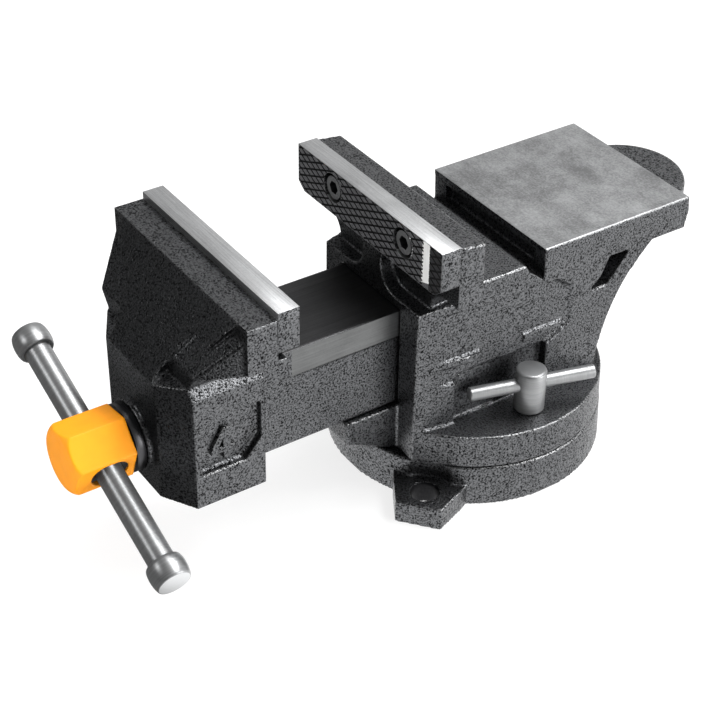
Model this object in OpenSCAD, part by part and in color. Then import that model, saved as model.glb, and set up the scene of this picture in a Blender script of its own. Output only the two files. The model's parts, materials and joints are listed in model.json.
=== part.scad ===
// Bench vise with 100 mm jaws, an anvil and a swivel base.
// Frame: the origin is on the swivel axis in the bench plane and +Z is up. The jaws grip along Y,
// the handle is at the -Y end and the anvil at the +Y end. All sizes are millimetres.

/* [Jaws] */
// Width of both jaws
jaw_w = 100; // [96:1:104]
// Height of a jaw plate
plate_h = 20.4; // [19:0.2:21]
// Thickness of a jaw plate
plate_t = 9; // [8.6:0.1:9.4]
// Gap between the jaw plates as drawn
jaw_gap = 62.5; // [25:0.5:100]
// Distance of each plate screw from the middle
plate_screw_x = 24.5; // [20:0.5:30]

/* [Body] */
// Half width of the body at the saddle
body_half_w = 38.2; // [37:0.1:39]
// Half width of the slide
slide_half_w = 20.4; // [18:0.1:21]
// Length of the anvil face
anvil_l = 76.5; // [70:0.5:78]

/* [Swivel] */
// Radius of the turntable
table_r = 58.5; // [57:0.1:59]
// Bolt circle diameter of the two lugs
lug_pcd = 134; // [132:0.5:136]
// Diameter of the bolt holes in the lugs
lug_hole_d = 11.8; // [9:0.1:12]

/* [Screw] */
// Outer diameter of the lead screw
screw_d = 18; // [16:0.5:18]
// Diameter of the sliding bar
bar_d = 10.8; // [9:0.1:11]
// Length of the sliding bar over its caps
bar_l = 123; // [110:1:140]
// Angle of the sliding bar below the horizontal
bar_tilt = 20.8; // [0:0.1:90]

/* [Hidden] */
$fn = 64;
gap = 0.3; // clearance between castings that move on each other
fit = 0.05; // radial clearance of pins and screws in their bores
over = 1; // how far a cutter runs past the face it cuts

// heights above the bench
base_top = 18.5;
table_z = base_top + gap;
table_top = 33.7;
bed_top = 41.05;
slide_z = bed_top + 0.35;
slide_top = 87.2;
tunnel_top = slide_top + 0.35;
anvil_z = 90.3;
saddle_z = 100.6;
anvil_top = 105.2;
plate_top = 130.2;
plate_z = plate_top - plate_h;
screw_z = 58.6;
plate_screw_z = 121.8;

// stations along Y on the fixed side
grip_y = -53.3;
front_y = grip_y + 2.5;
seat_y = grip_y + plate_t;
jaw_back_y = grip_y + 20.6;
anvil_y = 7.7;
anvil_end_y = anvil_y + anvil_l;

// stations along Y on the moving side, counted from the gripping face of its plate
grip2_y = grip_y - jaw_gap;
seat2_y = grip2_y - plate_t;
nose_back_y = grip2_y - 5;
slab_y = grip2_y - 21.7;
nose_bevel_y = grip2_y - 35.6;
nose_y = grip2_y - 43.9;
boss_y = nose_y - 2;
collar_y = boss_y - 4;
bar_y = grip2_y - 60.9;
cover_y = grip2_y - 76.2;
wall_y = nose_y + 11.7;
slide_end_y = grip2_y + 135.8;

// wings of the fixed jaw and the fillets that run down from them to the block
wing_z = 101.6;
wing_fillet_r = 9.6;
wing_fillet_x = 41.7;
wing_fillet_z = 92;
jaw_top_front = plate_top - 0.8;
jaw_top_back = plate_top - 2.2;

// shelf in front of the wings, and the web that rises from it under the plate
shelf_z = 91.6;
shelf_rise = 0.11; // per millimetre towards the back
web_half_w = 16.5;
web_scallop_r = 10.3;
web_scallop_z = 102;

// wings and scallops of the moving jaw
wing2_z = 107;
scallop_r = 9;
scallop_x = 31;
scallop_z = 99.5;

// sunk panel on each side of the block, level with the tapered side at its front end
panel_y = -44;
panel_x = 34.5;
panel_lean = -1.5; // degrees
panel_end_x = 36.3;
panel_bar_z = 62.3;
panel_bar_h = 3.2;

// concave back of the block, as a circle in the (y, z) plane
back_arc_r = 79;
back_arc_y = 120.2;
back_arc_z = 33;

// horn behind the anvil
horn_r = 26;

// ramp of the moving jaw
ramp_slope = 0.6527; // forward travel for each millimetre down
ramp_foot_z = 93.7;
slab_top = plate_top - 3;

// screws of the jaw plates
plate_bolt_d = 6;
plate_head_d = 10;
plate_bore_d = 12.6;
plate_head_h = 6;
plate_bolt_l = 10;

// lead screw, its head and what sits on it inside the nose
head_r = 11.5;
washer_t = 2.5;
spring_l = 12;
washer_y = wall_y;
spring_y = washer_y + washer_t;
keeper_y = spring_y + spring_l + gap;
pin_d = 3;
pin_y = keeper_y + washer_t + pin_d / 2;
screw_end_y = slide_end_y + 10;

// sliding bar and its caps
bar_shift = 2.7;
cap_l = 11.5;

// nut of the lead screw
nut_y = -46;
nut_l = 28;
nut_half_w = 12;
nut_bolt_ys = [-39, -25];
nut_bolt_d = 8;
nut_head_d = 13;
nut_head_z = 28;

// pivot of the swivel and the pocket under the base
pivot_d = 10;
pivot_tap_z = 38;
pocket_z = 8;

// undercut and mouth of the round T-slot in the base
slot_in = 36;
slot_out = 54;
mouth_in = 40;
mouth_out = 48.8;
slot_z = 4.5;
slot_top = 12.3;

// bolt lugs
lug_top = 10.2;
spot_face_r = 18;

// swivel locks
lock_x = 44.3;
lock_d = 8;
lock_tilt = 15.4;
lock_head_d = 13;
lock_head_h = 19.9;
lock_bar_z = 46.2;
lock_bar_d = 6;
lock_bar_l = 56;
lock_bar_shift = 0.6;

casting = "#3c3d40";
steel = "#a9abad";
dark_steel = "#4a4b4d";

// ---------- helpers ----------

// half outline on +X made whole by its mirror image
function mirrored(pts) = concat(pts, [for (i = [len(pts) - 1 : -1 : 0]) [-pts[i][0], pts[i][1]]]);

// children drawn as (y, z), extruded along X
module along_x(x0, x1)
    translate([x0, 0, 0]) rotate([90, 0, 90]) linear_extrude(x1 - x0) children();

// children drawn as (x, z), extruded along Y
module along_y(y0, y1)
    translate([0, y1, 0]) rotate([90, 0, 0]) linear_extrude(y1 - y0) children();

// round bar along Y
module rod_y(r, y0, y1)
    translate([0, y0, 0]) rotate([-90, 0, 0]) cylinder(r = r, h = y1 - y0);

// children on both sides of the middle plane
module both_sides() {
    children();
    mirror([1, 0, 0]) children();
}

// hexagonal prism along Z
module hex(across_flats, h)
    cylinder(r = across_flats / sqrt(3), h = h, $fn = 6);

// socket cap screw that points along -Z, its head bottom at z = 0
module cap_screw(d, head_d, head_h, l, key) {
    difference() {
        cylinder(d = head_d, h = head_h);
        translate([0, 0, head_h - key * 0.6]) hex(key, head_h);
    }
    translate([0, 0, -l]) cylinder(d = d, h = l);
}

// ---------- jaws ----------

// T section of the moving jaw: wings with a scallop under each and a neck between them
module moving_jaw_section(top) {
    difference() {
        union() {
            translate([-jaw_w / 2, wing2_z]) square([jaw_w, top - wing2_z]);
            translate([-scallop_x, slide_top]) square([2 * scallop_x, wing2_z - slide_top]);
        }
        for (side = [-1, 1]) translate([side * scallop_x, scallop_z]) circle(scallop_r);
    }
}

// jaw plate with its gripping face at y = 0 and its body behind it
module jaw_plate() {
    chamfer_x = 4.5;
    chamfer_z = 3.3;
    difference() {
        along_y(0, plate_t)
            polygon(mirrored([
                [jaw_w / 2 - chamfer_x, plate_z], [jaw_w / 2, plate_z + chamfer_z], [jaw_w / 2, plate_top]
            ]));
        for (x = [-plate_screw_x, plate_screw_x]) translate([x, 0, plate_screw_z]) {
            rod_y(plate_bore_d / 2, -over, plate_head_h + 0.6);
            rod_y(plate_bolt_d / 2 + fit, -over, plate_t + over);
        }
    }
}

// the two socket screws of a plate, with the gripping face at y = 0
module plate_screws()
    for (x = [-plate_screw_x, plate_screw_x])
        translate([x, plate_head_h + 0.6, plate_screw_z]) rotate([90, 0, 0])
            cap_screw(plate_bolt_d, plate_head_d, plate_head_h, plate_bolt_l, 5);

// tapped holes behind a plate, with the gripping face at y = 0
module plate_taps()
    for (x = [-plate_screw_x, plate_screw_x])
        translate([x, 0, plate_screw_z])
            rod_y(plate_bolt_d / 2 + fit, plate_t - over, plate_head_h + 0.6 + plate_bolt_l + 0.2);

// ---------- fixed body ----------

// outline of the block behind the fixed jaw, drawn as (y, z)
module body_outline() {
    polygon([
        [jaw_back_y - 0.2, 80], [jaw_back_y - 0.2, saddle_z], [-1.8, saddle_z], [0.2, 97.2],
        [anvil_y + 0.7, 90.4], [anvil_y, anvil_top], [anvil_end_y, anvil_top],
        [anvil_end_y + 0.8, anvil_top - 7], [anvil_end_y - 0.8, anvil_z], [40, anvil_z], [40, 80]
    ]);
    difference() {
        translate([jaw_back_y - 0.2, table_z]) square([100, anvil_z - table_z]);
        translate([back_arc_y, back_arc_z]) circle(back_arc_r);
        translate([back_arc_y - back_arc_r, 0]) square([100, back_arc_z]);
    }
}

module fixed_body() {
    color(casting) difference() {
        union() {
            turntable();
            // block, saddle and anvil
            intersection() {
                along_x(-body_half_w, body_half_w) body_outline();
                body_draft();
            }
            shelved_front();
            fixed_jaw();
            // bed that carries the slide in front of the block
            along_x(-21.5, 21.5)
                polygon([[front_y - 25, bed_top], [front_y + over, bed_top], [front_y + over, table_z],
                    [front_y, table_z], [front_y - 25, 30.2]]);
            // horn behind the anvil
            horn();
        }
        tunnel();
        both_sides() {
            side_panel();
            lock_bay();
            side_pocket();
            translate([lock_x, 0, table_z - over]) cylinder(d = lock_d + 2 * fit, h = 30);
        }
        // undercut along the front of the anvil
        translate([-30, anvil_y - over, 93]) cube([60, 4 + over, 8]);
        translate([0, grip_y, 0]) plate_taps();
        // tapped pivot hole and counterbored holes of the nut bolts
        translate([0, 0, table_z - over]) cylinder(d = pivot_d + 2 * fit, h = pivot_tap_z - table_z + over);
        for (y = nut_bolt_ys) translate([0, y, table_z - over]) {
            cylinder(d = nut_head_d + 2 * fit, h = nut_head_z + over - table_z);
            cylinder(d = nut_bolt_d + 2 * fit, h = 40);
        }
    }
}

// round flange that turns on the base, cut flush with the front of the block
module turntable() {
    intersection() {
        translate([0, 0, table_z]) cylinder(r1 = table_r + 0.5, r2 = table_r, h = table_top - table_z);
        translate([-70, front_y, 0]) cube(140);
    }
}

// jaw behind the plate, with a web under the plate
module fixed_jaw() {
    intersection() {
        along_y(seat_y, jaw_back_y) difference() {
            union() {
                translate([-jaw_w / 2, wing_z]) square([jaw_w, plate_top - wing_z]);
                translate([-wing_fillet_x, slide_top]) square([2 * wing_fillet_x, wing_z - slide_top]);
            }
            for (side = [-1, 1]) translate([side * wing_fillet_x, wing_fillet_z]) circle(wing_fillet_r);
            for (side = [0, 1]) mirror([side, 0]) translate([wing_fillet_x - wing_fillet_r, slide_top - over])
                square([20, wing_fillet_z - slide_top + over]);
        }
        // the top falls towards the back
        along_x(-jaw_w / 2, jaw_w / 2) polygon([
            [seat_y, slide_top], [seat_y, jaw_top_front], [jaw_back_y, jaw_top_back], [jaw_back_y, slide_top]
        ]);
    }
    along_y(front_y, seat_y + 0.1) difference() {
        translate([-web_half_w, slide_top]) square([2 * web_half_w, plate_z - slide_top]);
        for (side = [-1, 1]) translate([side * web_half_w, web_scallop_z]) circle(web_scallop_r);
    }
}

// front of the block, with a shelf on each side under the jaw
module shelved_front() {
    back_z = shelf_z + shelf_rise * (jaw_back_y - front_y);
    intersection() {
        along_x(-body_half_w, body_half_w) polygon([
            [front_y, table_z], [front_y, shelf_z], [jaw_back_y, back_z], [jaw_back_y, table_z]
        ]);
        body_draft();
    }
}

// taper at the front and the slight draft of the block's sides
module body_draft() {
    intersection() {
        linear_extrude(anvil_top + over)
            polygon(mirrored([
                [33, front_y], [36, front_y + 17], [body_half_w, front_y + 30], [body_half_w, anvil_end_y + 10]
            ]));
        along_y(front_y - over, anvil_end_y + 10)
            polygon(mirrored([[body_half_w - 1.5, table_z], [body_half_w, saddle_z], [body_half_w, anvil_top + over]]));
    }
}

module tunnel() {
    half_w = slide_half_w + 0.35;
    translate([-half_w, front_y - over, bed_top])
        cube([2 * half_w, 140, tunnel_top - bed_top]);
}

// half round horn, lower than the anvil face, with a rounded upper edge
module horn() {
    round_r = 3;
    top = anvil_top - 5.8;
    translate([0, anvil_end_y - 2, anvil_z]) intersection() {
        rotate_extrude() {
            square([horn_r, top - anvil_z - round_r]);
            square([horn_r - round_r, top - anvil_z]);
            translate([horn_r - round_r, top - anvil_z - round_r]) circle(round_r);
        }
        translate([-horn_r, 0, 0]) cube([2 * horn_r, horn_r, 20]);
    }
}

// sunk panel on the side of the block with two plain bars and slanted walls at its back end
module side_panel() {
    difference() {
        intersection() {
            along_x(body_half_w - 5, body_half_w + over)
                polygon([
                    [panel_y, 60.5], [-42, 57], [-39.5, 54.9], [-36, 53.7], [-31.5, 53.7], [-31.5, 57.4],
                    [16, 57.4], [25.5, 63.5], [24.7, 82.7], [16.1, 88.6], [panel_y, 88.6]
                ]);
            translate([panel_x, panel_y, 50]) rotate([0, 0, panel_lean]) cube([10, 80, 50]);
            slanted_wall(25.5, 63.5, 2.4);
            slanted_wall(24.7, 82.7, 55.5);
            slanted_wall(25.5, 63.5, -57.3);
        }
        for (span = [[-40, -21], [0.6, 20]])
            along_x(body_half_w - 6, panel_end_x + 1)
                translate([span[0], panel_bar_z]) square([span[1] - span[0], panel_bar_h]);
    }
}

// space in front of a wall that slants inwards at 45 degrees from (y, z) on the block's side
module slanted_wall(y, z, turn)
    translate([body_half_w, y, z]) rotate([turn, 0, 0]) rotate([0, 0, 45])
        translate([-80, -100, -80]) cube([100, 100, 160]);

// recess that lets the lock bar swing
module lock_bay() {
    along_x(33.4, body_half_w + 10)
        polygon([[-32.5, table_top], [-32.5, 54.5], [-30, 57.4], [12.7, 57.4], [12.7, table_top]]);
}

// slanted recess under the anvil
module side_pocket() {
    along_x(body_half_w - 8, body_half_w + over)
        polygon([[33.6, 75.7], [42.9, 75.9], [53.9, 89.8], [43, 90], [39, 81.2]]);
}

// ---------- moving jaw ----------

// solid below a slope that starts at (y, z) and runs down towards -Y, drawn as (y, z)
module slope_outline(y, z, slope, foot_z) {
    polygon([[y, z], [y - slope * (z - foot_z), foot_z], [y - slope * (z - foot_z), 60], [seat2_y, 60], [seat2_y, z]]);
}

module moving_jaw() {
    nose_half_w = 33.2;
    nose_front_half_w = 19;
    nose_z = 40.1;
    mark_depth = 3; // recess on each side for the size mark
    color(casting) difference() {
        union() {
            // jaw slab with its seat under the plate
            along_y(slab_y, seat2_y) moving_jaw_section(slab_top);
            along_y(seat2_y - 0.1, nose_back_y) moving_jaw_section(plate_z);
            // raised ramp with a stepped outline
            intersection() {
                along_x(-jaw_w / 2, jaw_w / 2) slope_outline(slab_y, slab_top, ramp_slope, ramp_foot_z);
                along_y(nose_y, seat2_y) polygon(mirrored([
                    [19, 80], [17, 97], [24, 114.9], [36, 114.9], [43.5, slab_top]
                ]));
            }
            // wings beside the ramp
            intersection() {
                along_x(-jaw_w / 2, jaw_w / 2) slope_outline(slab_y, 121, 0.84, 103.5);
                linear_extrude(slab_top)
                    polygon(mirrored([[48, slab_y], [35.5, slab_y - 14.7], [0, slab_y - 14.7]]));
                along_y(nose_y, seat2_y)
                    polygon(mirrored([[24, 90], [31, 96.2], [35.5, 102], [50, wing2_z], [50, slab_top]]));
            }
            nose(nose_half_w, nose_front_half_w, nose_z);
            // slide
            translate([-slide_half_w, nose_back_y - over, slide_z])
                cube([2 * slide_half_w, slide_end_y - nose_back_y + over, slide_top - slide_z]);
            translate([0, 0, screw_z]) rod_y(15, boss_y, nose_y + over);
        }
        // channel under the slide, wider inside the nose
        translate([-14, wall_y, nose_z - over]) cube([28, 220, 80.5 - nose_z + over]);
        translate([-24, wall_y, nose_z - over]) cube([48, 20, 78 - nose_z + over]);
        // relief that passes over the bed
        translate([-22.5, wall_y + 4, nose_z - over])
            cube([45, nose_back_y - wall_y + 10, slide_z - nose_z + over]);
        translate([0, 0, screw_z]) rod_y(screw_d / 2 + fit, boss_y - over, wall_y + over);
        // machined bands stand proud of the painted sides of the slide
        both_sides() translate([slide_half_w - 0.8, nose_back_y, slide_z - over])
            cube([over + 0.8, slide_end_y - nose_back_y + over, 74.9 - slide_z + over]);
        translate([0, grip2_y, 0]) mirror([0, 1, 0]) plate_taps();
        both_sides() along_x(nose_half_w - mark_depth, nose_half_w + over)
            polygon([
                [nose_bevel_y + 2.8, 55.1], [nose_back_y - 8.8, 55.1], [nose_back_y - 2, 63.4],
                [nose_back_y - 2, 80.4], [nose_back_y - 22, 80.4], [nose_bevel_y + 2.8, 74]
            ]);
    }
}

// front of the casting that takes the screw
module nose(half_w, front_half_w, z) {
    intersection() {
        linear_extrude(110) polygon(mirrored([
            [front_half_w, nose_y], [half_w, nose_bevel_y], [half_w, nose_back_y]
        ]));
        along_y(nose_y - over, nose_back_y)
            polygon(mirrored([[half_w, z], [half_w, 90.5], [31, 96.2], [22.5, 100.5]]));
        along_x(-half_w, half_w)
            polygon([
                [nose_y, z], [nose_y, ramp_foot_z - 0.5], [nose_bevel_y, 96.2], [slab_y - 11, 101],
                [nose_back_y, 101], [nose_back_y, z]
            ]);
    }
}

module fixed_jaw_plate()
    color(steel) translate([0, grip_y, 0]) jaw_plate();

module moving_jaw_plate()
    color(steel) translate([0, grip2_y, 0]) mirror([0, 1, 0]) jaw_plate();

module fixed_jaw_screws()
    color(dark_steel) translate([0, grip_y, 0]) plate_screws();

module moving_jaw_screws()
    color(dark_steel) translate([0, grip2_y, 0]) mirror([0, 1, 0]) plate_screws();

// ---------- screw, head and handle ----------

module lead_screw() {
    color(dark_steel) difference() {
        translate([0, 0, screw_z]) {
            rod_y(14, collar_y, boss_y - gap);
            rod_y(head_r, cover_y + 2.5, collar_y + over);
            rod_y(screw_d / 2, collar_y, screw_end_y - 2);
            translate([0, screw_end_y - 2, 0]) rotate([-90, 0, 0])
                cylinder(d1 = screw_d, d2 = screw_d - 4, h = 2);
        }
        bar_axis() translate([0, 0, -40]) cylinder(d = bar_d + 2 * fit, h = 80);
        translate([0, pin_y, screw_z - 20]) cylinder(d = pin_d + 2 * fit, h = 40);
    }
}

// places children with Z along the sliding bar and the origin on the screw axis
module bar_axis()
    translate([0, bar_y, screw_z]) rotate([0, 90 + bar_tilt, 0]) children();

module screw_head_cover() {
    across = 25.3;
    inner_y = collar_y - fit;
    color("#ff9f1c") difference() {
        translate([0, cover_y, screw_z]) rotate([-90, -bar_tilt, 0])
            rotate([0, 0, 30]) hex(across, inner_y - cover_y);
        translate([0, 0, screw_z]) rod_y(head_r + fit, cover_y + 2.5, collar_y + over);
        bar_axis() for (dy = [-1.6, 1.6]) translate([0, dy, -20]) cylinder(d = bar_d + 1.4, h = 40);
    }
}

module handle_bar()
    color(steel) bar_axis() translate([0, 0, bar_shift - bar_l / 2 + 4])
        cylinder(d = bar_d, h = bar_l - 8);

// barrel cap pressed on the end of the bar, its outer end at z = 0
module bar_cap() {
    color(steel) difference() {
        rotate_extrude() polygon([
            [0, 0], [6.3, 0], [7.4, -1.6], [7.7, -4.5], [7.5, -7.5], [6.6, -10.5], [5.9, -cap_l], [0, -cap_l]
        ]);
        translate([0, 0, -cap_l - over]) cylinder(d = bar_d, h = cap_l - 4 + over);
    }
}

module handle_cap_near()
    bar_axis() translate([0, 0, bar_shift + bar_l / 2]) bar_cap();

module handle_cap_far()
    bar_axis() translate([0, 0, bar_shift - bar_l / 2]) mirror([0, 0, 1]) bar_cap();

module thrust_washer()
    color(steel) translate([0, 0, screw_z]) difference() {
        rod_y(13.5, washer_y, spring_y);
        rod_y(screw_d / 2 + gap, washer_y - over, spring_y + over);
    }

// compression spring, swept round the screw
module thrust_spring() {
    wire_r = 1;
    coil_r = 11;
    turns = 4;
    steps = 24;
    sides = 8;
    rings = turns * steps;
    rise = spring_l - 2 * wire_r;
    points = [
        for (i = [0 : rings]) let (a = 360 * i / steps)
            for (j = [0 : sides - 1]) let (b = 360 * j / sides, r = coil_r + wire_r * cos(b))
                [r * cos(a), spring_y + wire_r + rise * i / rings + wire_r * sin(b), screw_z + r * sin(a)]
    ];
    faces = concat(
        [[for (j = [0 : sides - 1]) j]],
        [[for (j = [sides - 1 : -1 : 0]) rings * sides + j]],
        [for (i = [0 : rings - 1]) for (j = [0 : sides - 1]) let (k = (j + 1) % sides)
            [i * sides + j, (i + 1) * sides + j, (i + 1) * sides + k, i * sides + k]]
    );
    color(steel) polyhedron(points, faces);
}

module retaining_washer()
    color(steel) translate([0, 0, screw_z]) difference() {
        rod_y(13.5, keeper_y, keeper_y + washer_t);
        rod_y(screw_d / 2 + fit, keeper_y - over, keeper_y + washer_t + over);
    }

module split_pin()
    color(steel) translate([0, pin_y, screw_z]) {
        translate([0, 0, -12.5]) cylinder(d = pin_d, h = 24);
        translate([0, -1.5, 11.5]) rotate([-90, 0, 0]) cylinder(d = 4, h = 3);
    }

// ---------- nut, pivot and locks ----------

module screw_nut() {
    color(dark_steel) difference() {
        translate([-nut_half_w, nut_y, bed_top]) cube([2 * nut_half_w, nut_l, 72.5 - bed_top]);
        translate([0, 0, screw_z]) rod_y(screw_d / 2 + fit, nut_y - over, nut_y + nut_l + over);
        for (y = nut_bolt_ys) translate([0, y, bed_top - over]) cylinder(d = nut_bolt_d + 2 * fit, h = 7 + over);
    }
}

module nut_bolts()
    color(dark_steel) for (y = nut_bolt_ys)
        translate([0, y, nut_head_z]) mirror([0, 0, 1])
            cap_screw(nut_bolt_d, nut_head_d, nut_bolt_d, 19.5, 6);

module pivot_bolt()
    color(dark_steel) {
        translate([0, 0, 0.6]) hex(16, 5.3);
        translate([0, 0, 5.9]) cylinder(d = pivot_d, h = pivot_tap_z - 1 - 5.9);
    }

module pivot_washer()
    color(steel) translate([0, 0, 5.9]) difference() {
        cylinder(r = 14, h = pocket_z - gap - 5.9);
        translate([0, 0, -over]) cylinder(d = pivot_d + 2 * fit, h = 10);
    }

module swivel_base() {
    color(casting) difference() {
        union() {
            cylinder(r1 = 60, r2 = 59.2, h = base_top);
            for (a = [-50, 130]) rotate(a) lug();
        }
        for (a = [-50, 130]) rotate(a) translate([lug_pcd / 2, 0, 0]) {
            translate([0, 0, -over]) cylinder(d = lug_hole_d, h = base_top + 2 * over);
            translate([7.5, 0, lug_top]) cylinder(r = spot_face_r, h = base_top);
        }
        translate([0, 0, slot_z]) ring(slot_in, slot_out, slot_top - slot_z);
        translate([0, 0, slot_z]) ring(mouth_in, mouth_out, base_top);
        translate([0, 0, -over]) cylinder(r = 30, h = pocket_z + over);
        translate([0, 0, -over]) cylinder(d = pivot_d + 2 * fit, h = base_top + 2 * over);
    }
}

// bolt lug along +X
module lug()
    linear_extrude(lug_top)
        polygon([[50, -18], [63, -14.5], [77, -9.7], [77, 9.7], [63, 14.5], [50, 18]]);

module ring(r_in, r_out, h)
    difference() {
        cylinder(r = r_out, h = h);
        translate([0, 0, -over]) cylinder(r = r_in, h = h + 2 * over);
    }

// swivel lock on the +X side
module lock_screw() {
    color(steel) difference() {
        union() {
            translate([lock_x, 0, table_top + gap]) cylinder(d = lock_head_d, h = lock_head_h - 1 - gap);
            translate([lock_x, 0, table_top + lock_head_h - 1])
                cylinder(d1 = lock_head_d, d2 = lock_head_d - 2, h = 1);
            translate([lock_x, 0, slot_z + 1]) cylinder(d = lock_d, h = table_top - slot_z);
        }
        lock_bar_axis() translate([0, 0, -20]) cylinder(d = lock_bar_d, h = 40);
    }
}

// places children with Z along the lock bar
module lock_bar_axis()
    translate([lock_x, 0, lock_bar_z]) rotate([-90, 0, -lock_tilt]) children();

module lock_bar()
    color(steel) lock_bar_axis() translate([0, 0, lock_bar_shift - lock_bar_l / 2])
        cylinder(d = lock_bar_d, h = lock_bar_l);

// clamp nut in the T-slot
module lock_nut() {
    color(dark_steel) translate([lock_x, 0, slot_z + 0.5]) difference() {
        translate([-6.5, -8, 0]) cube([14, 16, slot_top - gap - slot_z - 0.5]);
        translate([0, 0, -over]) cylinder(d = lock_d + 2 * fit, h = 20);
    }
}

module lock_screw_right() lock_screw();
module lock_screw_left() mirror([1, 0, 0]) lock_screw();
module lock_bar_right() lock_bar();
module lock_bar_left() mirror([1, 0, 0]) lock_bar();
module lock_nut_right() lock_nut();
module lock_nut_left() mirror([1, 0, 0]) lock_nut();

swivel_base();
fixed_body();
moving_jaw();
fixed_jaw_plate();
moving_jaw_plate();
fixed_jaw_screws();
moving_jaw_screws();
lead_screw();
screw_head_cover();
handle_bar();
handle_cap_near();
handle_cap_far();
thrust_washer();
thrust_spring();
retaining_washer();
split_pin();
screw_nut();
nut_bolts();
pivot_bolt();
pivot_washer();
lock_screw_right();
lock_screw_left();
lock_bar_right();
lock_bar_left();
lock_nut_right();
lock_nut_left();
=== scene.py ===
"""Looks of a 100 mm bench vise with an anvil and a swivel base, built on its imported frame."""

import contextlib
import json
import math

import bmesh
import bpy
from mathutils import Matrix, Vector

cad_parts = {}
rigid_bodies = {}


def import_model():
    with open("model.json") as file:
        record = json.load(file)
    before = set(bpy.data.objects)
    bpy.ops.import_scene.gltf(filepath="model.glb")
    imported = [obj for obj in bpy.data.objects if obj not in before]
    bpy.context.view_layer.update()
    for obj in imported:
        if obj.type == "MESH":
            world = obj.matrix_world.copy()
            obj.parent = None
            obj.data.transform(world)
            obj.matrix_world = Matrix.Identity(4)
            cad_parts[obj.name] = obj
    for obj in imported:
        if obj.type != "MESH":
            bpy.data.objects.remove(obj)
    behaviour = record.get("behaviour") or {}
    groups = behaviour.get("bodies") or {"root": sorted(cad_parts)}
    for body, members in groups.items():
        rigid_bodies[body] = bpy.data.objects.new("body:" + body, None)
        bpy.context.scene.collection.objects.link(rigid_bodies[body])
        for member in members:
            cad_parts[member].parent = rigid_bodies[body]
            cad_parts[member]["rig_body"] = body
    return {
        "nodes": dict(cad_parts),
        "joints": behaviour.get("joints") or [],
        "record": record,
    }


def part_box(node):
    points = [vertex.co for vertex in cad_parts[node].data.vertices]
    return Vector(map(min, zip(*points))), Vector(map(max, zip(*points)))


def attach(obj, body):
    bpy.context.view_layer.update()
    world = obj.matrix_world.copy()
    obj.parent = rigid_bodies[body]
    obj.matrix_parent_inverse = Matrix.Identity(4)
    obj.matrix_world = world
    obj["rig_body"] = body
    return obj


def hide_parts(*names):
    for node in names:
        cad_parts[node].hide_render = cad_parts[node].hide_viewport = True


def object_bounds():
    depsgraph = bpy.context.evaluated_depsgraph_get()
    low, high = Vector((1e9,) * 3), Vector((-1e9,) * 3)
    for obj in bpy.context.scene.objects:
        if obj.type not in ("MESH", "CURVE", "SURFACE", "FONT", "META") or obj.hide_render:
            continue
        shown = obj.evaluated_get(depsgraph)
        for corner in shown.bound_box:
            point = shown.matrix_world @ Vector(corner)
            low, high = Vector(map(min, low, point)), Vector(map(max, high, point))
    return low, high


bl_info = {
    "name": "Bench Vise",
    "version": (1, 0, 0),
    "blender": (4, 5, 0),
    "location": "3D View > Sidebar > Bench Vise",
    "description": "Finishes the castings, plates, screw, handle and locks of a bench vise",
    "category": "Object",
}

MM = 0.001
SEAM = 0.001 * MM  # vertices closer than this are one

# enamel and ground faces
RIDGE_HIGHLIGHT_GREY = 0.4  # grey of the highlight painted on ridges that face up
GROUND_SHARES = (1.0, 0.6, 0.35)  # how much scratches, clouds and pits show
ANVIL_SHARES = (0.3, 1.1, 0.8)  # the anvil's face is cloudy and hardly scratched

# machined faces, in millimetres of the frame
ANVIL_START_Y = 6
SLIDE_TOP_Z = 87.2
SLIDE_BAND_Z = 74.9  # lower edge of the machined sides
SLIDE_HALF = 21.5  # a little over half the width of the slide's top
SLIDE_LANE_HALF = 13.5  # half the width of the darkest lane along the top
SLIDE_TOP_START_Y = -120.8
SLIDE_SIDE_START_Y = -101

# other sizes in millimetres
BOLT_HOLE = (43.07, -51.33)  # the second hole lies opposite
BOLT_HOLE_REACH = 7.5
SCREW_RADIUS = 9
COVER_CORNER = 14.6  # from the centre to a corner of the hexagon
COVER_BORE = 11.55
COVER_SLOT = 6.1
BAR_RADIUS = 5.4
LOCK_HEAD_RADIUS = 6.5
LOCK_HEAD_HEIGHT = 19.6
LOCK_SHANK_RADIUS = 4
LOCK_BAR_RADIUS = 3
LOCK_BAR_LEAN = math.radians(15.4)

# camera
CAMERA_AT = (496.36, -395.08, 488.70)  # millimetres
CAMERA_ANGLES = (55.6, 35.95, 0.97)  # azimuth, elevation and roll in degrees
CAMERA_LENS = 89.864  # millimetres, on a 36 mm sensor

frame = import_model()
CAD_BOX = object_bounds()


def linear(colour):
    """An sRGB hex colour as the linear RGBA that Blender's sockets take."""
    channels = [int(colour[i : i + 2], 16) / 255 for i in (1, 3, 5)]
    return tuple(
        c / 12.92 if c <= 0.04045 else ((c + 0.055) / 1.055) ** 2.4 for c in channels
    ) + (1.0,)


def joint(name):
    """A joint of the frame by its name."""
    return next(j for j in frame["joints"] if j["name"] == name)


def mount(name):
    """A mount of the record by its name."""
    return next(m for m in frame["record"]["mounts"] if m["name"] == name)


# ---------- what a user can change ----------


def length(name, description, default_mm, low_mm, high_mm):
    """A length property that is stated in millimetres and kept in metres."""
    return bpy.props.FloatProperty(
        name=name,
        description=description,
        default=default_mm * MM,
        min=low_mm * MM,
        max=high_mm * MM,
        unit="LENGTH",
        subtype="DISTANCE",
        precision=5,
    )


def tint(name, description, colour):
    """A colour property whose default is an sRGB hex colour."""
    return bpy.props.FloatVectorProperty(
        name=name,
        description=description,
        default=linear(colour)[:3],
        min=0.0,
        max=1.0,
        size=3,
        subtype="COLOR",
    )


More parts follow.
